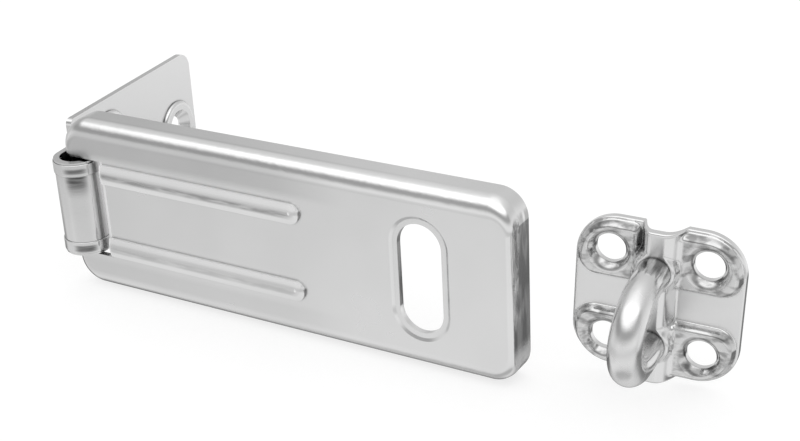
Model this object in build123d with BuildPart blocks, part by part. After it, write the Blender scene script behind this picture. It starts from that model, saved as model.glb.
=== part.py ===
"""Padlock hasp set: a hinged strap on its screw leaf, and the staple plate beside it.

Millimetres, +Z up, with the hinge axis along Z. The origin is on the leaf's wall face, midway
between the two screws nearest the hinge. The leaf runs along Y with its screw heads towards +X.
The strap stands open, almost along +X, and the staple plate stands past its free end.
"""

import math
import os

from build123d import *

# Strap: a drawn sheet steel tray, open at the back
strap_length = 114.3
strap_height = 41.3
strap_depth = 7.8
strap_sheet = 1.4
strap_open_angle = 6.3
long_edge_round = 4.0
free_end_round = 1.3
nose_round = 2.6
free_corner_radius = 6.0
hinge_corner_radius = 6.5
flange_end_radius = 5.0
round_steps = 6

# Hinge bar, left standing between the two noses by a window in the strap
bar_radius = 2.3
nose_ball_radius = 2.5
window_half_height = 11.9
window_length = 9.9
window_lip_radius = 1.8
window_lip_depth = 1.6

# Stiffening ribs, pressed outwards
rib_spacing = 18.1
rib_width = 4.6
rib_rise = 1.1
rib_crown_radius = 6.5
rib_edge_round = 0.45
rib_start = 11.5
rib_end = 65.0

# Slot for the staple, with its edge pressed in
slot_centre = 93.4
slot_width = 10.2
slot_height = 24.6
slot_rim_width = 1.75
slot_rim_slope = 0.6
slot_rim_drop = 0.35
slot_rim_inside = 0.3

# Hinge leaf: a flat plate whose tongue is rolled into a loop round the bar
leaf_sheet = 1.4
leaf_half_height = 17.85
leaf_near_edge = -14.0
leaf_far_edge = 37.5
leaf_far_corner = 4.0
leaf_near_corner = 1.5
loop_radius = 5.3
loop_half_height = 11.5
loop_hang = 0.8
loop_seam_gap = 0.3
loop_bead_rise = 0.25
loop_bead_round = 0.2
loop_bead_height = 2.8
loop_bead_from_end = 1.9
hinge_to_near_screws = 17.7
near_screw_spacing = 16.0
far_screw_from_near = 29.0
leaf_screw_radius = 2.7
leaf_sink_radius = 4.6
leaf_sink_angle = 90
leaf_boss_radius = 6.8
leaf_boss_rise = 1.0
leaf_boss_round = 0.8

# Staple plate: pressed sheet with four screw pads and a hollow ridge
plate_centre_x = 141.3
plate_centre_z = -2.1
plate_turn = 2.9
plate_sheet = 1.5
plate_corner = 8.5
plate_screw_spacing = 19.6
plate_screw_to_side = 7.2
plate_screw_to_end = 6.65
plate_screw_radius = 3.1
screw_mouth_to_rim = 0.14
pad_rise = 2.0
pad_margin = 0.6
pad_from_middle = 4.0
pad_inner_corner = 1.7
pad_gap_half_height = 3.6
pad_side_straight = 0.15
pad_edge_round = 1.2
pad_wall = 1.3
collar_wall = 1.0
ridge_half_width = 2.2
ridge_wall_slope = 1.0
ridge_wall = 1.2
ridge_round = 1.2
ridge_under_strap = 0.2

# Staple: a bowed rod whose shouldered ends are riveted inside the ridge
rod_radius = 3.3
leg_spacing = 16.1
leg_straight = 11.8
bow_apex = 23.3
tenon_radius = 2.2
rivet_radius = 2.7
rivet_thickness = 1.3
rivet_clearance = 0.3

# Planes: side looks down the hinge axis, front faces the strap's outer face
open_angle = math.radians(strap_open_angle)
hinge_x = loop_radius
hinge_y = -hinge_to_near_screws
side = Plane(
    origin=(hinge_x, hinge_y, 0),
    x_dir=(math.cos(open_angle), -math.sin(open_angle), 0),
    z_dir=(0, 0, 1),
)
front = Plane(origin=side.origin, x_dir=side.x_dir, z_dir=-side.y_dir)
across = Plane(origin=side.origin, x_dir=(0, 0, 1), z_dir=side.x_dir)
leaf_face = Plane(origin=(0, 0, 0), x_dir=(0, 1, 0), z_dir=(1, 0, 0))
plate_angle = math.radians(plate_turn)
plate_face = Plane(
    origin=(plate_centre_x, hinge_y, plate_centre_z),
    x_dir=(math.cos(plate_angle), 0, -math.sin(plate_angle)),
    z_dir=(0, -1, 0),
)

# Strap places, along it from the hinge axis and outwards from that axis
hinge_end = -nose_round
free_end = strap_length - nose_round
face_level = nose_round
rim_level = nose_round - strap_depth
inner_level = face_level - strap_sheet
half_strap = strap_height / 2


def corner_inset(radius, depth):
    """How far a rounded edge stands in from its wall at a depth below the face."""
    if depth >= radius:
        return 0.0
    return radius - math.sqrt(radius**2 - (radius - depth) ** 2)


def tray_section(wall, depth, low_end):
    """The tray's outline at a depth below its face, drawn in by a wall thickness."""
    long_inset = wall + corner_inset(long_edge_round - wall, depth)
    free_inset = wall + corner_inset(free_end_round - wall, depth)
    nose_inset = corner_inset(nose_round, depth) if wall == 0 else 0.0
    hinge_shrink = (long_inset + nose_inset) / 2
    free_shrink = (long_inset + free_inset) / 2
    low = low_end + nose_inset
    high = free_end - free_inset
    with BuildSketch(front.offset(face_level - wall - depth)) as section:
        with Locations(((low + high) / 2, 0)):
            Rectangle(high - low, strap_height - 2 * long_inset)
        fillet(section.vertices().group_by(Axis.X)[0], hinge_corner_radius - hinge_shrink)
        fillet(section.vertices().group_by(Axis.X)[-1], free_corner_radius - free_shrink)
    return section.sketch


def tray_sections(wall, low_end):
    """Outlines from the face down to where the long edges' rounding ends."""
    edge_round = long_edge_round - wall
    angles = [math.radians(90 * step / round_steps) for step in range(round_steps + 1)]
    return [tray_section(wall, edge_round * (1 - math.cos(angle)), low_end) for angle in angles]


def spots(plane, points):
    """Locations of points given on a plane, facing out of it."""
    return [plane.location * Pos(across, up) for across, up in points]


# Strap: the tray's outer and inner forms
outer_sections = tray_sections(0, hinge_end)
with BuildPart() as strap_outer:
    loft(outer_sections)
    extrude(outer_sections[-1], amount=long_edge_round - strap_depth)

inner_sections = tray_sections(strap_sheet, hinge_end - 2 * hinge_corner_radius)
with BuildPart() as strap_inner:
    loft(inner_sections)
    extrude(inner_sections[-1], amount=long_edge_round - strap_depth - strap_sheet)
    with BuildSketch(side.offset(-half_strap)):
        Circle(bar_radius)
    extrude(amount=strap_height, mode=Mode.SUBTRACT)

# Window: it frees the bar and the noses' rounded inner ends
window_low = hinge_end - window_length
window_edge = hinge_end + window_length
bend_start = window_edge + window_lip_radius
with BuildPart() as window:
    with BuildSketch(side.offset(-window_half_height)):
        with Locations(((window_low + bend_start) / 2, 0)):
            Rectangle(bend_start - window_low, 4 * strap_depth)
        Circle(bar_radius, mode=Mode.SUBTRACT)
    extrude(amount=2 * window_half_height)
    with Locations(side.offset(-window_half_height), side.offset(window_half_height)):
        Sphere(nose_ball_radius, mode=Mode.SUBTRACT)

# Ribs: low walls with rounded edges under a crowned top, and round ends
half_rib = rib_width / 2
rib_base = inner_level + strap_sheet / 2
crown_level = face_level + rib_rise
shoulder = crown_level - rib_crown_radius + math.sqrt(rib_crown_radius**2 - half_rib**2)
rib_run = rib_end - half_rib - rib_start
rib_near = across.offset(rib_start - nose_round)
rib_far = across.offset(rib_start - nose_round + rib_run)
front_axis = Axis(origin=rib_far.origin, direction=front.z_dir)


def rib_section(plane):
    """Cross-section of a rib on a plane across the strap."""
    with BuildSketch(plane) as section:
        with BuildLine():
            Polyline(
                (-half_rib, shoulder),
                (-half_rib, rib_base),
                (half_rib, rib_base),
                (half_rib, shoulder),
            )
            ThreePointArc((half_rib, shoulder), (0, crown_level), (-half_rib, shoulder))
        make_face()
        fillet(section.vertices().group_by(front_axis)[-1][:2], rib_edge_round)
    return section.sketch


with BuildPart() as rib:
    extrude(rib_section(rib_near), amount=rib_run)
    with BuildSketch(rib_far):
        add(rib_section(Plane.XY))
        with Locations((0, face_level)):
            Rectangle(rib_width, strap_height, align=(Align.MAX, Align.CENTER), mode=Mode.SUBTRACT)
    revolve(axis=front_axis, revolution_arc=360)

rib_rows = [-rib_spacing / 2, rib_spacing / 2]
with BuildPart() as ribs:
    with Locations(*[(0, 0, row) for row in rib_rows]):
        add(rib.part)

# Grooves behind the ribs
groove_radius = (half_rib**2 + rib_rise**2) / (2 * rib_rise) - strap_sheet
groove_level = crown_level - strap_sheet - groove_radius
groove_rows = [(row, groove_level) for row in rib_rows]
with BuildPart() as rib_grooves:
    with BuildSketch(rib_near):
        with Locations(*groove_rows):
            Circle(groove_radius)
    extrude(amount=rib_run)
    with Locations(*spots(rib_far, groove_rows)):
        Sphere(groove_radius)

# Slot: outlines at the face and at the bottom of its pressed rim
slot_place = (slot_centre - nose_round, 0)
with BuildSketch(front.offset(face_level)) as rim_mouth:
    with Locations(slot_place):
        SlotOverall(slot_height + 2 * slot_rim_width, slot_width + 2 * slot_rim_width, rotation=90)
with BuildSketch(front.offset(face_level - slot_rim_drop)) as rim_floor:
    with Locations(slot_place):
        narrowing = 2 * (slot_rim_width - slot_rim_slope)
        SlotOverall(slot_height + narrowing, slot_width + narrowing, rotation=90)
with BuildSketch(front.offset(inner_level)) as rim_root:
    with Locations(slot_place):
        SlotOverall(slot_height + 2 * slot_rim_width, slot_width + 2 * slot_rim_width, rotation=90)
with BuildSketch(front.offset(inner_level - slot_rim_inside)) as rim_tip:
    with Locations(slot_place):
        SlotOverall(slot_height + slot_rim_width, slot_width + slot_rim_width, rotation=90)

with BuildPart() as strap:
    add(strap_outer.part)
    add(strap_inner.part, mode=Mode.SUBTRACT)
    add(window.part, mode=Mode.SUBTRACT)
    # Rounded hinge ends of the two flanges
    with BuildSketch(side.offset(-half_strap)):
        with Locations((hinge_end, -rim_level)):
            Rectangle(2 * flange_end_radius, 2 * flange_end_radius)
        with Locations((hinge_end + flange_end_radius, -rim_level - flange_end_radius)):
            Circle(flange_end_radius, mode=Mode.SUBTRACT)
    extrude(amount=strap_height, mode=Mode.SUBTRACT)
    # Window lip, the sheet bent inwards behind the bar
    with BuildSketch(side.offset(-window_half_height)):
        with BuildLine():
            bend_centre = (bend_start, window_lip_radius - face_level)
            lip_tip = bend_centre[1] + window_lip_depth
            inner_radius = window_lip_radius - strap_sheet
            CenterArc(bend_centre, window_lip_radius, 180, 90)
            CenterArc(bend_centre, inner_radius, 180, 90)
            Polyline(
                (window_edge, bend_centre[1]),
                (window_edge, lip_tip),
                (window_edge + strap_sheet, lip_tip),
                (window_edge + strap_sheet, bend_centre[1]),
            )
            Line((bend_start, -face_level), (bend_start, -inner_level))
        make_face()
    extrude(amount=2 * window_half_height)
    add(ribs.part)
    add(rib_grooves.part, mode=Mode.SUBTRACT)
    loft([rim_root.sketch, rim_tip.sketch])
    loft([rim_mouth.sketch, rim_floor.sketch], mode=Mode.SUBTRACT)
    with BuildSketch(front.offset(rim_level)):
        with Locations(slot_place):
            SlotOverall(slot_height, slot_width, rotation=90)
    extrude(amount=2 * strap_depth, mode=Mode.SUBTRACT)

# Hinge leaf
loop_centre = (hinge_x, hinge_y - loop_hang)
loop_bore = loop_radius - leaf_sheet
seam_angle = math.acos((leaf_sheet + loop_seam_gap - loop_radius) / loop_radius)
far_reach = 2 * loop_radius
near_screws = [(0, -near_screw_spacing / 2), (0, near_screw_spacing / 2)]
leaf_screws = near_screws + [(far_screw_from_near, 0)]
leaf_pad_top = leaf_sheet + leaf_boss_rise
with BuildPart() as leaf_plate:
    with BuildSketch(leaf_face):
        with Locations(((leaf_near_edge + leaf_far_edge) / 2, 0)):
            Rectangle(leaf_far_edge - leaf_near_edge, 2 * leaf_half_height)
        fillet(vertices().group_by(Axis.X)[0], leaf_near_corner)
        fillet(vertices().group_by(Axis.X)[-1], leaf_far_corner)
    extrude(amount=leaf_sheet)
    # Screw pads, raised from behind, with their countersinks pressed back to the wall
    with BuildSketch(leaf_face):
        with Locations(*leaf_screws):
            Circle(leaf_boss_radius)
    extrude(amount=leaf_pad_top)
    fillet(edges().filter_by(GeomType.CIRCLE).group_by(Axis.X)[-1], leaf_boss_round)
    with BuildSketch(leaf_face):
        with Locations(*leaf_screws):
            Circle(leaf_boss_radius - leaf_boss_rise)
    extrude(amount=leaf_boss_rise, mode=Mode.SUBTRACT)
    with Locations(*spots(leaf_face, leaf_screws)):
        Cone(
            leaf_screw_radius + leaf_boss_rise,
            leaf_sink_radius + leaf_boss_rise / 2,
            leaf_boss_rise,
            align=(Align.CENTER, Align.CENTER, Align.MIN),
        )
    with Locations(*spots(leaf_face.offset(leaf_pad_top), leaf_screws)):
        CounterSinkHole(leaf_screw_radius, leaf_sink_radius, 2 * leaf_pad_top, leaf_sink_angle)

with BuildPart() as loop:
    with BuildSketch(Plane.XY.offset(-loop_half_height)):
        with Locations(loop_centre):
            Circle(loop_radius)
    extrude(amount=2 * loop_half_height)
    with Locations(
        (*loop_centre, loop_bead_from_end - loop_half_height),
        (*loop_centre, loop_half_height - loop_bead_from_end),
    ):
        Cylinder(loop_radius + loop_bead_rise, loop_bead_height)
    bead_rims = edges().filter_by(GeomType.CIRCLE).filter_by(lambda ring: ring.radius > loop_radius)
    fillet(bead_rims, loop_bead_round)
    with BuildSketch(Plane.XY.offset(-loop_half_height)):
        with Locations(loop_centre):
            Circle(loop_bore)
    extrude(amount=2 * loop_half_height, mode=Mode.SUBTRACT)
    # Open seam: the rolled end stops short of the plate, and the beads stay off the wall
    with BuildSketch(Plane.XY.offset(-loop_half_height)):
        with BuildLine():
            Polyline(
                loop_centre,
                (
                    loop_centre[0] + far_reach * math.cos(seam_angle),
                    loop_centre[1] + far_reach * math.sin(seam_angle),
                ),
                (loop_centre[0] - far_reach, loop_centre[1] + far_reach),
                (loop_centre[0] - far_reach, loop_centre[1]),
                close=True,
            )
        make_face()
    extrude(amount=2 * loop_half_height, mode=Mode.SUBTRACT)
    with BuildSketch(Plane.XY.offset(-loop_half_height)):
        with Locations((-loop_radius, loop_centre[1])):
            Rectangle(far_reach, 2 * far_reach)
    extrude(amount=2 * loop_half_height, mode=Mode.SUBTRACT)
    # Tongue between the loop and the wide plate
    with BuildSketch(Plane.XY.offset(-loop_half_height)):
        with Locations((0, loop_centre[1])):
            Rectangle(leaf_sheet, leaf_near_edge + leaf_sheet - loop_centre[1], align=Align.MIN)
    extrude(amount=2 * loop_half_height)

with BuildPart() as hinge_leaf:
    add(leaf_plate.part)
    add(loop.part)

# Staple plate
inner_depth = strap_depth - strap_sheet - slot_rim_inside
ridge_height = inner_depth - ridge_under_strap
ridge_roof = ridge_height - plate_sheet
half_leg = leg_spacing / 2
feet = [(0, -half_leg), (0, half_leg)]
plate_width = plate_screw_spacing + 2 * plate_screw_to_side
plate_height = plate_screw_spacing + 2 * plate_screw_to_end
foot_hollow = rivet_radius + rivet_clearance
foot_boss = foot_hollow + plate_sheet
pad_top = plate_sheet + pad_rise
pad_low = pad_gap_half_height
pad_high = plate_height / 2 - pad_margin
pad_side = plate_width / 2 - pad_margin
ridge_across = Plane(origin=plate_face.origin, x_dir=plate_face.x_dir, z_dir=-plate_face.y_dir)


def ridge_section(half_width, height, round_top):
    """Cross-section of the ridge, with sloping walls, from the back plane up."""
    with BuildSketch(ridge_across.offset(-plate_height / 2)) as section:
        with BuildLine():
            Polyline(
                (-half_width - ridge_wall_slope, 0),
                (-half_width, height),
                (half_width, height),
                (half_width + ridge_wall_slope, 0),
                close=True,
            )
        make_face()
        fillet(section.vertices().group_by(Axis.Y)[-1], round_top)
    return section.sketch


def farthest(corners, way):
    """The corner that lies farthest in a direction."""
    return max(corners, key=lambda corner: Vector(*corner).dot(way))


def pad_outline(draw_in, level):
    """The four screw pads' outlines, drawn in by a distance."""
    rim_radius = plate_corner - pad_margin - draw_in
    gap_radius = pad_high - pad_low - 2 * draw_in - rim_radius - pad_side_straight
    low_side = pad_from_middle + draw_in
    width = pad_side - draw_in - low_side
    with BuildSketch(plate_face.offset(level)) as outline:
        for right in (-1, 1):
            for upper in (-1, 1):
                with BuildSketch(mode=Mode.PRIVATE) as pad:
                    with Locations((right * (low_side + width / 2), upper * (pad_low + pad_high) / 2)):
                        Rectangle(width, pad_high - pad_low - 2 * draw_in)
                    rim_way = Vector(right, upper)
                    gap_way = Vector(right, -upper)
                    fillet(farthest(pad.vertices(), rim_way), rim_radius)
                    fillet(farthest(pad.vertices(), gap_way), gap_radius)
                    if draw_in == 0:
                        fillet(farthest(pad.vertices(), Vector(-right, upper)), pad_inner_corner)
                        fillet(farthest(pad.vertices(), Vector(-right, -upper)), pad_inner_corner)
                add(pad.sketch)
    return outline.sketch


# Pads, with rounded rims and rounded mouths round their screw holes
side_offset = plate_corner - plate_screw_to_side
end_offset = plate_corner - plate_screw_to_end
rim_land = plate_corner - pad_margin - pad_edge_round - math.hypot(side_offset, end_offset)
mouth_round = rim_land - plate_screw_radius - screw_mouth_to_rim
with BuildPart() as pads:
    extrude(pad_outline(0, 0), amount=pad_top)
    fillet(faces().filter_by(Axis.Y).group_by(Axis.Y)[0].edges(), pad_edge_round)
    with Locations(plate_face.offset(pad_top)):
        with GridLocations(plate_screw_spacing, plate_screw_spacing, 2, 2):
            Hole(plate_screw_radius)
    pad_tops = faces().filter_by(Axis.Y).group_by(Axis.Y)[0]
    mouths = [mouth for top in pad_tops for mouth in top.inner_wires()]
    fillet([ring for mouth in mouths for ring in mouth.edges()], mouth_round)

with BuildPart() as staple_plate:
    with BuildSketch(plate_face):
        RectangleRounded(plate_width, plate_height, plate_corner)
    extrude(amount=plate_sheet)
    add(pads.part)
    extrude(ridge_section(ridge_half_width, ridge_height, ridge_round), amount=plate_height)
    with Locations(*spots(plate_face, feet)):
        Cone(
            foot_boss + ridge_wall_slope,
            foot_boss,
            ridge_height,
            align=(Align.CENTER, Align.CENTER, Align.MIN),
        )
    # Hollow back of the pads, the ridge and the feet
    extrude(pad_outline(pad_wall, 0), amount=pad_rise, mode=Mode.SUBTRACT)
    inner_half = ridge_half_width - ridge_wall
    extrude(
        ridge_section(inner_half, ridge_roof, inner_half / 2),
        amount=plate_height,
        mode=Mode.SUBTRACT,
    )
    with BuildSketch(plate_face):
        with Locations(*feet):
            Circle(foot_hollow)
    extrude(amount=ridge_roof, mode=Mode.SUBTRACT)
    # Screw holes with collars pressed back to the wall, and holes for the staple's ends
    with BuildSketch(plate_face):
        with GridLocations(plate_screw_spacing, plate_screw_spacing, 2, 2):
            Circle(plate_screw_radius + collar_wall)
    extrude(amount=pad_rise)
    with Locations(plate_face.offset(pad_top)):
        with GridLocations(plate_screw_spacing, plate_screw_spacing, 2, 2):
            Hole(plate_screw_radius)
    with BuildSketch(plate_face):
        with Locations(*feet):
            Circle(tenon_radius)
    extrude(amount=ridge_height, mode=Mode.SUBTRACT)

# Staple
bow = Plane(origin=plate_face.origin, x_dir=plate_face.y_dir, z_dir=plate_face.x_dir)
with BuildPart() as staple:
    with BuildLine(bow):
        lower_leg = Line((-half_leg, ridge_height), (-half_leg, leg_straight))
        EllipticalCenterArc(
            (0, leg_straight),
            half_leg,
            bow_apex - leg_straight,
            start_angle=180,
            arc_size=-180,
        )
        Line((half_leg, leg_straight), (half_leg, ridge_height))
    with BuildSketch(Plane(origin=lower_leg @ 0, z_dir=lower_leg % 0)):
        Circle(rod_radius)
    sweep()
    with BuildSketch(plate_face.offset(ridge_height)):
        with Locations(*feet):
            Circle(tenon_radius)
    extrude(amount=-plate_sheet)
    with BuildSketch(plate_face.offset(ridge_roof)):
        with Locations(*feet):
            Circle(rivet_radius)
    extrude(amount=-rivet_thickness)

os.makedirs("parts", exist_ok=True)
pieces = {
    "strap": strap,
    "hinge_leaf": hinge_leaf,
    "staple_plate": staple_plate,
    "staple": staple,
}
for name, piece in pieces.items():
    piece.part.label = name
    export_step(piece.part, f"parts/{name}.step")
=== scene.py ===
import math

import bpy
from mathutils import Matrix, Vector
from mathutils.geometry import delaunay_2d_cdt


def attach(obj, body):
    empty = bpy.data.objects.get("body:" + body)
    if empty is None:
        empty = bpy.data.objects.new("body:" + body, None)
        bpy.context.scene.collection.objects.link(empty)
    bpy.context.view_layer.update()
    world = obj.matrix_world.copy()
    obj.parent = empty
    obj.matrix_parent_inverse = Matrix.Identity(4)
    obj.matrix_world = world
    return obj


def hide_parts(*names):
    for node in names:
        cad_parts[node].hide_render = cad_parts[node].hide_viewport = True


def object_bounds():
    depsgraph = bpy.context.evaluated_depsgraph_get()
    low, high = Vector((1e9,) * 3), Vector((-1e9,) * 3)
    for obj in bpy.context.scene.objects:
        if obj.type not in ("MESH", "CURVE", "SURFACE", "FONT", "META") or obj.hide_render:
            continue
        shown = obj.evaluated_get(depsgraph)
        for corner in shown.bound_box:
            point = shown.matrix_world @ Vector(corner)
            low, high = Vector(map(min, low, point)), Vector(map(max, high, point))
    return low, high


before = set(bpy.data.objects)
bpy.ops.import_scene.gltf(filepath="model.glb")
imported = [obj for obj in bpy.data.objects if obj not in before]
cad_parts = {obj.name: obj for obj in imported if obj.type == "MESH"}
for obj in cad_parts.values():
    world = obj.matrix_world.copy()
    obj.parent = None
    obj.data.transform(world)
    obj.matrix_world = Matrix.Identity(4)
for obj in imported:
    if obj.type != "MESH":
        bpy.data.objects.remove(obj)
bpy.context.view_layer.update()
scene = bpy.context.scene
scene.view_settings.view_transform = "Standard"

# Camera: a product shot from in front of the strap, to its right and above it.
# The lens and the three angles come from the photograph's outlines.
camera_place = Vector((0.21138, -0.28109, 0.14110))
camera_yaw = math.radians(25.68)
camera_pitch = math.radians(24.81)
camera_roll = math.radians(3.126)
photo_width, photo_height = 800, 441
focal_pixels = 1536.1
centre_pixel = (396.06, 221.48)
camera_data = bpy.data.cameras.new("camera")
camera_data.sensor_fit = "HORIZONTAL"
camera_data.sensor_width = 36.0
camera_data.lens = focal_pixels / photo_width * camera_data.sensor_width
camera_data.shift_x = (photo_width / 2 - centre_pixel[0]) / photo_width
camera_data.shift_y = (centre_pixel[1] - photo_height / 2) / photo_width
camera_data.clip_start = 0.01
camera_data.clip_end = 20.0
camera = bpy.data.objects.new("camera", camera_data)
scene.collection.objects.link(camera)
camera_turn = (
    Matrix.Rotation(camera_yaw, 3, "Z")
    @ Matrix.Rotation(-camera_pitch, 3, "X")
    @ Matrix.Rotation(camera_roll, 3, "Y")
    @ Matrix.Rotation(math.radians(90), 3, "X")
)
camera.matrix_world = Matrix.Translation(camera_place) @ camera_turn.to_4x4()
scene.camera = camera


# Floor: a white sheet of card under the hasp, which stands on the strap's lower edge.
# Most of the card's white is a steady glow of its own, so the shadow on it stays faint.
class Shade:
    """A socket of a node tree, with sums written on it as Python expressions."""

    def __init__(self, tree, socket=None):
        self.tree, self.socket = tree, socket

    def node(self, kind, settings=None, **inputs):
        """A new node. Inputs go by name, or by number as i0, i1 and so on."""
        made = self.tree.nodes.new(kind)
        for name, value in (settings or {}).items():
            if name == "curve":
                curve = made.mapping.curves[0]
                curve.points[0].location = value[0]
                curve.points[-1].location = value[-1]
                for place in value[1:-1]:
                    curve.points.new(*place)
                made.mapping.update()
            else:
                setattr(made, name, value)
        for name, value in inputs.items():
            numbered = name[0] == "i" and name[1:].isdigit()
            key = int(name[1:]) if numbered else name.replace("_", " ")
            if isinstance(value, Shade):
                self.tree.links.new(value.socket, made.inputs[key])
            else:
                made.inputs[key].default_value = value
        return made

    def out(self, kind, settings=None, output=0, **inputs):
        """An output of a new node."""
        return Shade(self.tree, self.node(kind, settings, **inputs).outputs[output])

    def math(self, operation, *values):
        """A Math node's result, from sockets and numbers."""
        numbered = {f"i{number}": value for number, value in enumerate(values)}
        return self.out("ShaderNodeMath", {"operation": operation}, **numbered)

    def span(self, low, high, to_low=0.0, to_high=1.0):
        """A smooth climb from one value to another while this one goes from low to high."""
        return self.out(
            "ShaderNodeMapRange",
            {"interpolation_type": "SMOOTHSTEP"},
            Value=self,
            From_Min=low,
            From_Max=high,
            To_Min=to_low,
            To_Max=to_high,
        )

    def fade(self, low, high):
        """A smooth fall from one to nought while this one goes from low to high."""
        return self.span(low, high, 1.0, 0.0)

    def __add__(self, other):
        return self.math("ADD", self, other)

    def __sub__(self, other):
        return self.math("SUBTRACT", self, other)

    def __rsub__(self, other):
        return self.math("SUBTRACT", other, self)

    def __mul__(self, other):
        return self.math("MULTIPLY", self, other)

    __rmul__ = __mul__


def new_material(name):
    """A material with nothing but its output, ready for a surface."""
    material = bpy.data.materials.new(name)
    material.use_nodes = True
    material.node_tree.nodes.clear()
    output = material.node_tree.nodes.new("ShaderNodeOutputMaterial")
    return material, Shade(material.node_tree), output


floor_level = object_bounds()[0][2]
floor_size = 6.0
card_white = (0.95, 0.95, 0.95, 1)
glow_strength = 1.1
glow_share = 0.68
half = floor_size / 2
floor_mesh = bpy.data.meshes.new("floor")
floor_mesh.from_pydata(
    [
        (-half, -half, floor_level),
        (half, -half, floor_level),
        (half, half, floor_level),
        (-half, half, floor_level),
    ],
    [],
    [(0, 1, 2, 3)],
)
floor = bpy.data.objects.new("floor", floor_mesh)
scene.collection.objects.link(floor)
floor_material, floor_shade, floor_output = new_material("white card")
floor_ray = floor_shade.node("ShaderNodeLightPath")
seen_by_camera = Shade(floor_shade.tree, floor_ray.outputs["Is Camera Ray"])
seen_in_plating = Shade(floor_shade.tree, floor_ray.outputs["Is Glossy Ray"])
card = floor_shade.out("ShaderNodeBsdfDiffuse", Color=card_white)
glow = floor_shade.out("ShaderNodeEmission", Color=(1, 1, 1, 1), Strength=glow_strength)
clear = floor_shade.out("ShaderNodeBsdfTransparent")
glowing_card = floor_shade.out("ShaderNodeMixShader", i0=glow_share, i1=card, i2=glow)
plain = floor_shade.out("ShaderNodeMixShader", i0=seen_by_camera, i1=card, i2=glowing_card)
floor_surface = floor_shade.out("ShaderNodeMixShader", i0=seen_in_plating, i1=plain, i2=clear)
floor_shade.tree.links.new(floor_surface.socket, floor_output.inputs["Surface"])
floor_mesh.materials.append(floor_material)

# Light: a white room with a softbox overhead and darker bands between it and the horizon.
# The plating mirrors these bands. The camera and the floor see plain white.
brightest = 1.5
# Each pair is a direction's height, from straight down to straight up, and its brightness
front_levels = (
    (-1.0, 0.60), (-0.93, 0.50), (-0.86, 0.66), (-0.76, 0.82), (-0.55, 0.86), (-0.42, 0.86),
    (-0.36, 0.66), (-0.29, 0.62), (-0.12, 0.86), (0.05, 0.86), (0.2, 0.72), (0.36, 0.44),
    (0.52, 0.42), (0.62, 0.60), (0.72, 1.10), (0.85, 1.4), (1.0, 1.2),
)
back_levels = (
    (-1.0, 0.80), (-0.75, 0.60), (-0.6, 0.26), (-0.46, 0.22), (-0.4, 0.60), (-0.3, 0.92),
    (-0.1, 0.85), (0.1, 0.80), (0.35, 0.67), (0.5, 0.66), (0.62, 0.70), (0.75, 0.76),
    (0.86, 0.85), (0.95, 1.1), (1.0, 1.2),
)
world = bpy.data.worlds.new("white room")
scene.world = world
world.use_nodes = True
world.node_tree.nodes.clear()
room_shade = Shade(world.node_tree)
room_ray = room_shade.node("ShaderNodeLightPath")
mirrored = Shade(room_shade.tree, room_ray.outputs["Is Glossy Ray"])
direction = room_shade.out("ShaderNodeTexCoord")
direction_parts = room_shade.node("ShaderNodeSeparateXYZ", Vector=direction)
east, north, height = (Shade(room_shade.tree, direction_parts.outputs[axis]) for axis in range(3))
climb = height * 0.5 + 0.5
front_band, back_band = (
    brightest
    * room_shade.out(
        "ShaderNodeFloatCurve",
        {"curve": [(0.5 + up / 2, level / brightest) for up, level in levels]},
        Value=climb,
    )
    for levels in (front_levels, back_levels)
)
# Towards the hinge's side the bands are a little dimmer, but not overhead or underfoot.
# The swing is the turn from due west, in radians, towards the south where it is positive.
front_dimmed = 0.12
back_dimmed = 0.28
swing = room_shade.math("ARCTAN2", north * -1.0, east * -1.0)
near_horizon = room_shade.math("ABSOLUTE", height).fade(0.5, 0.7)
front_dim = 1.0 - near_horizon * swing.fade(0.66, 1.0) * front_dimmed
back_dim = 1.0 - near_horizon * swing.span(-1.15, -0.9) * back_dimmed
behind = north.span(-0.1, 0.25)
room_level = front_band * front_dim * (1.0 - behind) + back_band * back_dim * behind
room = room_shade.out("ShaderNodeBackground", Strength=room_level, Color=(1, 1, 1, 1))
backdrop = room_shade.out("ShaderNodeBackground", Strength=1.0, Color=(1, 1, 1, 1))
room_surface = room_shade.out("ShaderNodeMixShader", i0=mirrored, i1=backdrop, i2=room)
room_output = room_shade.tree.nodes.new("ShaderNodeOutputWorld")
room_shade.tree.links.new(room_surface.socket, room_output.inputs["Surface"])


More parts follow.
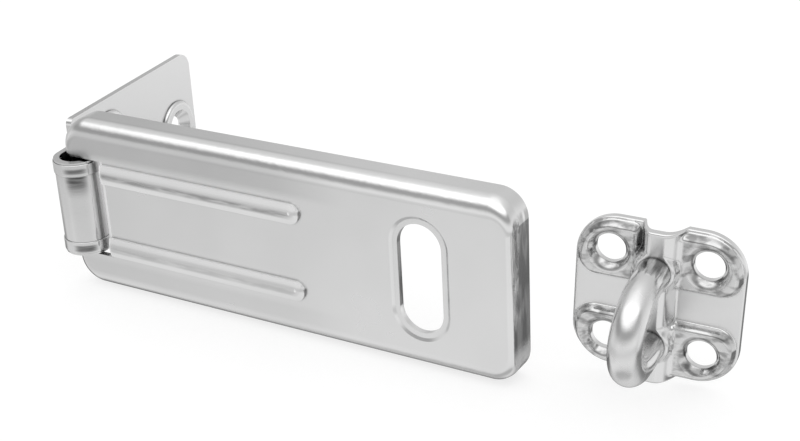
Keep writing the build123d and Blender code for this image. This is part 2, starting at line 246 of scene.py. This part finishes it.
# Strap: drawn sheet steel, bright zinc plated, with the fine grain of the rolled sheet
# still showing in its flats. Bends and edges are polished, some edges carry painted highlights, and its
# crevices carry painted shade.
# It swings on the bar that its notch leaves standing, inside the leaf's loop.
class Plating:
    """Bright zinc over steel, made up step by step and finished by done()."""

    dull, bright = 0.76, 0.88
    smoothest, cloudiness = 0.10, 0.08
    wave_scale = 160.0
    grain_scale, grain_height = 2600.0, 0.000006

    def __init__(self, name, cloud_size=0.02, wave_height=0.000012):
        self.material, self.shade, self.output = new_material(name)
        self.place = self.shade.out("ShaderNodeTexCoord", output=3)
        self.normal = self.shade.out("ShaderNodeTexCoord", output=1)
        self.clouds = self.noise(scale=1 / cloud_size, detail=4.0)
        self.colour = self.mixed(self.clouds, self.dull, self.bright)
        self.roughness = self.clouds * self.cloudiness + self.smoothest
        self.metallic = 1.0
        waves = self.noise(scale=self.wave_scale) * wave_height
        grain = self.noise(scale=self.grain_scale, detail=3.0) * self.grain_height
        self.relief = waves + grain

    def noise(self, scale, detail=2.0, squeeze=None):
        """Noise from nought to one, whose spots can be squeezed or drawn out."""
        place = self.place
        if squeeze:
            place = self.shade.out(
                "ShaderNodeVectorMath", {"operation": "MULTIPLY"}, i0=place, i1=squeeze
            )
        return self.shade.out("ShaderNodeTexNoise", Vector=place, Scale=scale, Detail=detail)

    def mixed(self, share, first, second):
        """A colour between two, each of them a grey level or a colour."""
        ends = [grey if isinstance(grey, Shade) else (grey, grey, grey, 1) for grey in (first, second)]
        return self.shade.out(
            "ShaderNodeMix", {"data_type": "RGBA"}, output=2, Factor=share, i6=ends[0], i7=ends[1]
        )

    def facing(self, way):
        """How squarely the surface faces a direction."""
        return self.shade.out(
            "ShaderNodeVectorMath", {"operation": "DOT_PRODUCT"}, output=1, i0=self.normal, i1=way
        )

    def along(self, way, start=0.0):
        """How far the point lies along a direction, past a starting place."""
        run = self.shade.out(
            "ShaderNodeVectorMath", {"operation": "DOT_PRODUCT"}, output=1, i0=self.place, i1=way
        )
        return run - start

    def near(self, point, reach, blur):
        """One inside a ball round a point, falling to nought over a blurred border."""
        gap = self.shade.out(
            "ShaderNodeVectorMath", {"operation": "DISTANCE"}, output=1, i0=self.place, i1=point
        )
        return gap.fade(reach, reach + blur)

    def satin(self, share, amount=0.16):
        """Adds roughness by a share."""
        self.roughness = self.roughness + share * amount

    def toned(self, share, grey):
        """Draws the colour towards a grey by a share."""
        self.colour = self.mixed(share, self.colour, grey)

    def painted_crevice_shade(self, reach, start, end, grey, share=1.0):
        """Painted shade: draws the colour towards a grey where the surroundings close in on the surface.
        """
        sky = self.shade.out("ShaderNodeAmbientOcclusion", {"samples": 8}, output=1, Distance=reach)
        self.toned(sky.fade(start, end) * share, grey)

    def done(self):
        """Its material, with everything linked."""
        bump = self.shade.out("ShaderNodeBump", Distance=1.0, Height=self.relief)
        surface = self.shade.out(
            "ShaderNodeBsdfPrincipled",
            Base_Color=self.colour,
            Metallic=self.metallic,
            Roughness=self.roughness,
            Normal=bump,
        )
        self.shade.tree.links.new(surface.socket, self.output.inputs["Surface"])
        return self.material


def finish_node(node, material):
    """Gives a CAD piece its only material."""
    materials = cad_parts[node].data.materials
    materials.clear()
    materials.append(material)


strap_turn = math.radians(6.3)
strap_along = (math.cos(strap_turn), -math.sin(strap_turn), 0)
strap_front = (-math.sin(strap_turn), -math.cos(strap_turn), 0)
hinge_run = 0.0072
slot_middle = (0.0953, -0.0302, 0)
# Each pair is where a mark starts to come or go and where it is done, by run from the
# hinge or by height
lip_start, lip_end, lip_edge = (0.0072, 0.0074), (0.0090, 0.0094), (0.0118, 0.0120)
rib_height, rib_half_width = 0.00905, (0.00245, 0.0026)
rib_start, rib_end = (0.0085, 0.0095), (0.0625, 0.0640)
smudge_and_reflection_start, smudge_and_reflection_end = (0.0085, 0.0100), (0.0590, 0.0620)
darker_front_end, above_ribs, below_ribs = (0.052, 0.076), (0.0118, 0.0140), (-0.0140, -0.0120)
strap_zinc = Plating("strap zinc")
facing_front = strap_zinc.facing(strap_front)
run = strap_zinc.along(strap_along, hinge_run)
rise = strap_zinc.along((0, 0, 1))
off_centre = strap_zinc.shade.math("ABSOLUTE", rise)
front_face = facing_front.span(0.90, 0.98)
strap_zinc.satin(facing_front.span(0.97, 0.998), amount=0.12)
# The lip beside the loop is a painted highlight: mostly non-metal so that it shows white, and left out
# of the painted shade laid in the strap's crevices
lip_highlight = run.span(*lip_start) * run.fade(*lip_end) * off_centre.fade(*lip_edge)
strap_zinc.painted_crevice_shade(reach=0.004, start=0.25, end=0.70, grey=0.03, share=1.0 - lip_highlight)
# Painted shade in the fine crevices as well, most on faces turned down and round the slot
round_slot = strap_zinc.near(slot_middle, reach=0.016, blur=0.002) * facing_front.span(0.3, 0.6)
downward = strap_zinc.facing((0, 0, -1)).span(0.1, 0.5)
painted_shade_share = downward * 0.85 + round_slot * 0.45 + 0.15
strap_zinc.painted_crevice_shade(reach=0.0008, start=0.55, end=0.97, grey=0.22, share=painted_shade_share)
# The ribs' upper edges carry a painted highlight, drawn towards white
beside_rib = strap_zinc.shade.math("ABSOLUTE", off_centre - rib_height)
rib_edge_highlight = strap_zinc.facing((0, 0, 1)).span(0.25, 0.45) * beside_rib.fade(*rib_half_width)
rib_edge_highlight = rib_edge_highlight * run.span(*rib_start) * run.fade(*rib_end)
strap_zinc.toned(rib_edge_highlight, grey=0.95)
# The painted highlights on the lip and the ribs' edges are mostly non-metal, so the white room lights
# them white
strap_zinc.metallic = 1.0 - lip_highlight * 0.9 - rib_edge_highlight * 0.85
# The front is darker above the ribs and a little below them, fading out away from the hinge
darker_front = front_face * run.fade(*darker_front_end)
strap_zinc.toned(darker_front * rise.span(*above_ribs) * 0.34, grey=0.35)
strap_zinc.toned(darker_front * rise.fade(*below_ribs) * 0.14, grey=0.35)
# Each rib has a dark line along its middle, partly a real smudge and partly a painted dark reflection
smudge_and_reflection = strap_zinc.noise(scale=700.0, squeeze=(0.25, 0.25, 1.6)).span(0.30, 0.60, 0.45, 1.0)
on_rib = run.span(*smudge_and_reflection_start) * run.fade(*smudge_and_reflection_end) * front_face
for smudge_and_reflection_height, strength in ((0.0088, 0.62), (-0.0094, 0.30)):
    off_smudge_and_reflection = strap_zinc.shade.math("ABSOLUTE", rise - smudge_and_reflection_height)
    strap_zinc.toned(on_rib * smudge_and_reflection * off_smudge_and_reflection.fade(0.0002, 0.0010) * strength, grey=0.16)
# Its free end is painted dark with long lighter patches, a painted reflection of the floor beside it and
# of the staple plate's pads; its lower end stays light and is made less metallic, part of the same
# painted reflection
free_end = strap_zinc.facing(strap_along).span(0.90, 0.985)
reflected_patches = strap_zinc.noise(scale=420.0, squeeze=(1, 1, 0.22)).span(0.42, 0.62)
lower_end = free_end * rise.fade(-0.0145, -0.0105)
strap_zinc.toned(free_end * (1.0 - reflected_patches) * (1.0 - lower_end) * 0.65, grey=0.28)
strap_zinc.metallic = strap_zinc.metallic - lower_end * 0.6
finish_node("strap", strap_zinc.done())

# Hinge leaf: a thinner plated sheet, screwed to the frame by three raised and countersunk
# pads. Its tongue is rolled into a loop and polished; the loop is darker on its front side, with dark
# streaks beside its beads.
leaf_zinc = Plating("leaf zinc", cloud_size=0.015)
# Its flat face is painted lighter, a painted reflection of the white card behind the strap, and is
# rougher
leaf_face = leaf_zinc.facing((1, 0, 0)).span(0.97, 0.998)
leaf_zinc.toned(leaf_face * 0.4, grey=0.98)
leaf_zinc.satin(leaf_face)
# Painted shade in its crevices
leaf_zinc.painted_crevice_shade(reach=0.004, start=0.20, end=0.60, grey=0.03)
leaf_zinc.painted_crevice_shade(reach=0.0008, start=0.5, end=0.93, grey=0.30)
# The side of the loop facing front and right is darker, with dark streaks in bands beside its beads
loop_side = leaf_zinc.facing((0.47, -0.88, 0)).span(0.82, 0.99)
leaf_zinc.toned(loop_side * 0.3, grey=0.45)
# Each dark band has the heights between which it comes and goes, and how strong it is
dark_bands = (
    ((0.0020, 0.0078), (0.0079, 0.0083), 1.0),
    ((0.0087, 0.0092), (0.0097, 0.0104), 0.8),
    ((-0.0108, -0.0102), (-0.0093, -0.0087), 1.0),
)
leaf_rise = leaf_zinc.along((0, 0, 1))
streaks = leaf_zinc.noise(scale=500.0, squeeze=(0.3, 0.3, 4.0)).span(0.35, 0.65, 0.7, 1.0)
under_bead, upper_bead, lower_bead = (
    leaf_rise.span(*band_start) * leaf_rise.fade(*band_end) * strength
    for band_start, band_end, strength in dark_bands
)
banded = (under_bead + upper_bead + lower_bead) * 0.95
leaf_zinc.toned(loop_side * streaks * banded, grey=0.05)
finish_node("hinge_leaf", leaf_zinc.done())

# Staple plate: one deep pressing, with four screw pads whose walls flow into the sheet,
# a hollow ridge between them and bosses round the staple's feet. It is zinc plated, and
# screwed to the door through its pads.
plate_origin = Vector((0.1413, -0.0177, -0.0021))
plate_turn = math.radians(2.9)
plate_right = Vector((math.cos(plate_turn), 0, -math.sin(plate_turn)))
plate_up = Vector((math.sin(plate_turn), 0, math.cos(plate_turn)))
plate_out = Vector((0, -1, 0))
# The rounded square outline
half_width, half_height, plate_corner = 0.01699, 0.01644, 0.0085
edge_round = 0.0004
# Levels over the back plane
plate_sheet, pad_top, ridge_top = 0.0015, 0.0035, 0.0059
drawn_sheet = plate_sheet * 0.93
# The pads, by distance from the plate's middle. Those on the right reach further in
pad_outer, pad_low, pad_high = 0.0164, 0.0036, 0.01585
pad_inner = {-1: 0.0040, 1: 0.0026}
pad_outer_corner, pad_low_corner, pad_inner_corner = 0.0079, 0.0042, 0.0017
# Walls, from where they start to round over to where they meet the sheet
pad_wall_top, pad_wall_foot = -0.0013, 0.0001
ridge_wall_top, ridge_left_foot = 0.0010, 0.0036
ridge_right_foot, ridge_flared_foot = 0.0038, 0.0050
flare_start, flare_end = 0.0034, 0.0056
boss_wall_top, boss_wall_foot = 0.0034, 0.0050
wall_curve = 2.4
fillet_reach, fillet_share = 0.001, 0.8
# The screw holes with their dished mouths, and the staple's feet
hole_place, hole_radius = 0.0098, 0.0031
hole_edge = hole_radius * 0.9995
mouth_radius, mouth_drop = 0.0050, 0.0014
foot_place = 0.00805
# The mesh: rows of points along the edges, the holes and the pads' walls, and a grid
point_spacing = 0.0003
least_steps = 4
ring_points = 72
edge_insets = (0.00005, 0.00015, 0.0004)
hole_rings = (0.0032, 0.0034, 0.0037, 0.0040, 0.0044, 0.0048, 0.0052)
pad_insets = (-0.00012, 0, 0.0001, 0.00025, 0.00045, 0.0007, 0.0010, 0.0013)
clear_of_edge, clear_of_hole = 0.00055, 0.0054
clear_of_pad_wall = (-0.00145, 0.0003)


def fall(distance, start, end, top, low):
    """A level that stays at the top before a distance and falls smoothly to the low one."""
    step = min(max((distance - start) / (end - start), 0), 1)
    return top + (low - top) * step * step * (3 - 2 * step)


def round_over(distance, start, end, top, low):
    """A level that rounds over from the top one and meets the low one at a crease."""
    step = min(max((distance - start) / (end - start), 0), 1)
    return top - (top - low) * step**wall_curve


def blended(first, second):
    """The higher of two levels, with a fillet where two raised forms meet."""
    high = max(first, second)
    reach = min(fillet_reach, fillet_share * (high - plate_sheet))
    if reach <= 0:
        return high
    return high + max(reach - abs(first - second), 0) ** 2 / (4 * reach)


def past_corner(across, up, corner, way, radius):
    """Distance outside a rounded corner, or None where its arc doesn't reach."""
    aside = (across - corner[0]) * way[0] + radius
    above = (up - corner[1]) * way[1] + radius
    return math.hypot(aside, above) - radius if aside > 0 and above > 0 else None


def past_outline(across, up):
    """Distance outside the plate's rounded square."""
    across, up = abs(across), abs(up)
    past = past_corner(across, up, (half_width, half_height), (1, 1), plate_corner)
    return max(across - half_width, up - half_height) if past is None else past


def past_pad(across, up):
    """Distance outside the nearest screw pad."""
    inner = pad_inner[1 if across > 0 else -1]
    across, up = abs(across), abs(up)
    corners = (
        ((pad_outer, pad_high), (1, 1), pad_outer_corner),
        ((pad_outer, pad_low), (1, -1), pad_low_corner),
        ((inner, pad_high), (-1, 1), pad_inner_corner),
        ((inner, pad_low), (-1, -1), pad_inner_corner),
    )
    arcs = [past_corner(across, up, *corner) for corner in corners]
    arcs = [past for past in arcs if past is not None]
    return max([across - pad_outer, inner - across, up - pad_high, pad_low - up] + arcs)


def off_hole(across, up):
    """Distance from the middle of the nearest screw hole."""
    return math.hypot(abs(across) - hole_place, abs(up) - hole_place)


def off_foot(across, up):
    """Distance from the middle of the nearest of the staple's feet."""
    return math.hypot(across, abs(up) - foot_place)


def plate_level(across, up):
    """Level of the plate's front over its back plane."""
    pad = round_over(past_pad(across, up), pad_wall_top, pad_wall_foot, pad_top, plate_sheet)
    ridge_foot = ridge_left_foot
    if across > 0:
        ridge_foot = fall(abs(up), flare_start, flare_end, ridge_right_foot, ridge_flared_foot)
    ridge = round_over(abs(across), ridge_wall_top, ridge_foot, ridge_top, plate_sheet)
    boss = round_over(off_foot(across, up), boss_wall_top, boss_wall_foot, ridge_top, plate_sheet)
    level = min(blended(blended(pad, ridge), boss), ridge_top)
    mouth = max((mouth_radius - off_hole(across, up)) / (mouth_radius - hole_radius), 0)
    level -= mouth_drop * mouth**2
    edge = min(-past_outline(across, up), edge_round)
    return level - edge_round + math.sqrt(max(edge_round**2 - (edge_round - edge) ** 2, 0))


def ring(radius, centre):
    """Points round a circle."""
    turns = [2 * math.pi * step / ring_points for step in range(ring_points)]
    return [(centre[0] + radius * math.cos(turn), centre[1] + radius * math.sin(turn)) for turn in turns]


def rounded_loop(corners, inset):
    """Points round an outline, drawn in by an inset; its corners run anticlockwise."""
    arcs = []
    for turn, (across, up, radius) in enumerate(corners):
        centre_across = across - radius if turn in (0, 3) else across + radius
        centre_up = up - radius if turn < 2 else up + radius
        steps = max(round(math.pi / 2 * radius / point_spacing), least_steps)
        angles = [math.pi / 2 * (turn + step / steps) for step in range(steps + 1)]
        reach = radius - inset
        arcs.append(
            [
                (centre_across + reach * math.cos(angle), centre_up + reach * math.sin(angle))
                for angle in angles
            ]
        )
    filled = []
    for arc, following in zip(arcs, arcs[1:] + arcs[:1]):
        here, there = Vector(arc[-1]), Vector(following[0])
        steps = max(round((there - here).length / point_spacing), 1)
        filled += arc + [tuple(here.lerp(there, step / steps)) for step in range(1, steps)]
    return filled


plate_corners = [
    (right * half_width, upper * half_height, plate_corner)
    for right, upper in ((1, 1), (-1, 1), (-1, -1), (1, -1))
]
holes = [(right * hole_place, upper * hole_place) for right in (-1, 1) for upper in (-1, 1)]
loops = [rounded_loop(plate_corners, 0)] + [ring(hole_radius, hole) for hole in holes]
points = [point for loop in loops for point in loop]
edges = []
loop_start = 0
for loop in loops:
    edges += [(loop_start + k, loop_start + (k + 1) % len(loop)) for k in range(len(loop))]
    loop_start += len(loop)
for inset in edge_insets:
    points += rounded_loop(plate_corners, inset)
for hole in holes:
    for radius in hole_rings:
        points += ring(radius, hole)
for side, inner in pad_inner.items():
    pad_corners = [
        (pad_outer, pad_high, pad_outer_corner),
        (inner, pad_high, pad_inner_corner),
        (inner, pad_low, pad_inner_corner),
        (pad_outer, pad_low, pad_low_corner),
    ]
    for inset in pad_insets:
        for across, up in rounded_loop(pad_corners, inset):
            if off_hole(across, up) > clear_of_hole:
                points += [(side * across, up), (side * across, -up)]
rows = math.ceil(half_height / point_spacing)
columns = math.ceil(half_width / point_spacing)
for row in range(-rows, rows + 1):
    for column in range(-columns, columns + 1):
        across, up = column * point_spacing, row * point_spacing
        on_pad_wall = clear_of_pad_wall[0] < past_pad(across, up) < clear_of_pad_wall[1]
        inside = past_outline(across, up) < -clear_of_edge and off_hole(across, up) > clear_of_hole
        if inside and not on_pad_wall:
            points.append((across, up))
whole_outline, merge_gap = 0, 1e-7
flat, _, triangles, *_ = delaunay_2d_cdt(
    [Vector(point) for point in points], edges, [], whole_outline, merge_gap
)


def on_sheet(corners):
    """Whether a triangle lies on the sheet, neither across a hole nor outside the outline."""
    middle = sum((flat[k] for k in corners), Vector((0, 0))) / 3
    off_holes = all(math.dist(hole, middle) > hole_edge for hole in holes)
    return off_holes and past_outline(*middle) < 0


def on_plate(across, up, level):
    """The place in the scene of a point on the plate."""
    return plate_origin + plate_right * across + plate_up * up + plate_out * level


triangles = [corners for corners in triangles if on_sheet(corners)]
levels = [plate_level(*point) for point in flat]
backs = [max(level - drawn_sheet, 0) for level in levels]
vertices = [on_plate(*point, level) for point, level in zip(flat, levels)]
vertices += [on_plate(*point, back) for point, back in zip(flat, backs)]
faces = [tuple(corners) for corners in triangles]
faces += [tuple(len(flat) + k for k in reversed(corners)) for corners in triangles]
# Walls join front and back round the outline and the holes, with points of their own
sides = [
    (here, there) for corners in triangles for here, there in zip(corners, (*corners[1:], corners[0]))
]
shared = set(sides)
walls = [(here, there) for here, there in sides if (there, here) not in shared]
wall_ends = sorted({k for wall in walls for k in wall})
wall_points = {k: len(vertices) + 2 * number for number, k in enumerate(wall_ends)}
for k in wall_ends:
    vertices += [on_plate(*flat[k], levels[k]), on_plate(*flat[k], backs[k])]
for here, there in walls:
    here_front, there_front = wall_points[here], wall_points[there]
    faces.append((there_front, here_front, here_front + 1, there_front + 1))
plate_mesh = bpy.data.meshes.new("pressed_plate")
plate_mesh.from_pydata(vertices, [], faces)
plate_mesh.polygons.foreach_set("use_smooth", [True] * len(plate_mesh.polygons))
plate = bpy.data.objects.new("pressed_plate", plate_mesh)
scene.collection.objects.link(plate)
plate_zinc = Plating("staple plate zinc", cloud_size=0.008, wave_height=0.00002)
facing_out = plate_zinc.facing(tuple(plate_out))
plate_zinc.satin(facing_out.span(0.96, 0.998))
# Painted shade in its crevices
plate_zinc.painted_crevice_shade(reach=0.003, start=0.2, end=0.6, grey=0.10)
plate_zinc.painted_crevice_shade(reach=0.0008, start=0.5, end=0.93, grey=0.20)
# The pads are darker, with dark streaks over them and a little more darkening on their walls
off_ridge = plate_zinc.shade.math(
    "ABSOLUTE", plate_zinc.along(tuple(plate_right), plate_origin.dot(plate_right))
)
over_wall = plate_zinc.along(tuple(plate_out), plate_origin.dot(plate_out))
on_pad = off_ridge.span(0.0044, 0.0050) * over_wall.span(0.0016, 0.0021)
pad_streaks = plate_zinc.noise(scale=420.0, detail=3.0, squeeze=(0.7, 1.0, 1.6)).span(0.44, 0.66)
pad_darkening = pad_streaks * 0.55 + facing_out.fade(0.80, 0.97) * 0.12 + 0.10
plate_zinc.toned(on_pad * pad_darkening, grey=0.14)
plate_mesh.materials.append(plate_zinc.done())
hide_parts("staple_plate")
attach(plate, "fixed")

# Staple: a round steel rod bent into a bow, smooth and bright with zinc. Its two feet go
# through the ridge of the plate and are riveted behind it.
door_face = 0.0177
stripe_start, stripe_end = 0.0090, 0.0125
rod_zinc = Plating("staple zinc", cloud_size=0.006, wave_height=0.00005)
# Painted shade in its crevices
rod_zinc.painted_crevice_shade(reach=0.003, start=0.3, end=0.7, grey=0.06)
rod_zinc.satin(rod_zinc.noise(scale=260.0).span(0.35, 0.65))
# Near its feet it has dark stripes along the rod
near_feet = rod_zinc.along((0, -1, 0), door_face).fade(stripe_start, stripe_end)
foot_stripes = rod_zinc.noise(scale=650.0, squeeze=(1, 0.1, 1)).span(0.46, 0.58)
rod_zinc.toned(near_feet * foot_stripes * 0.75, grey=0.14)
finish_node("staple", rod_zinc.done())
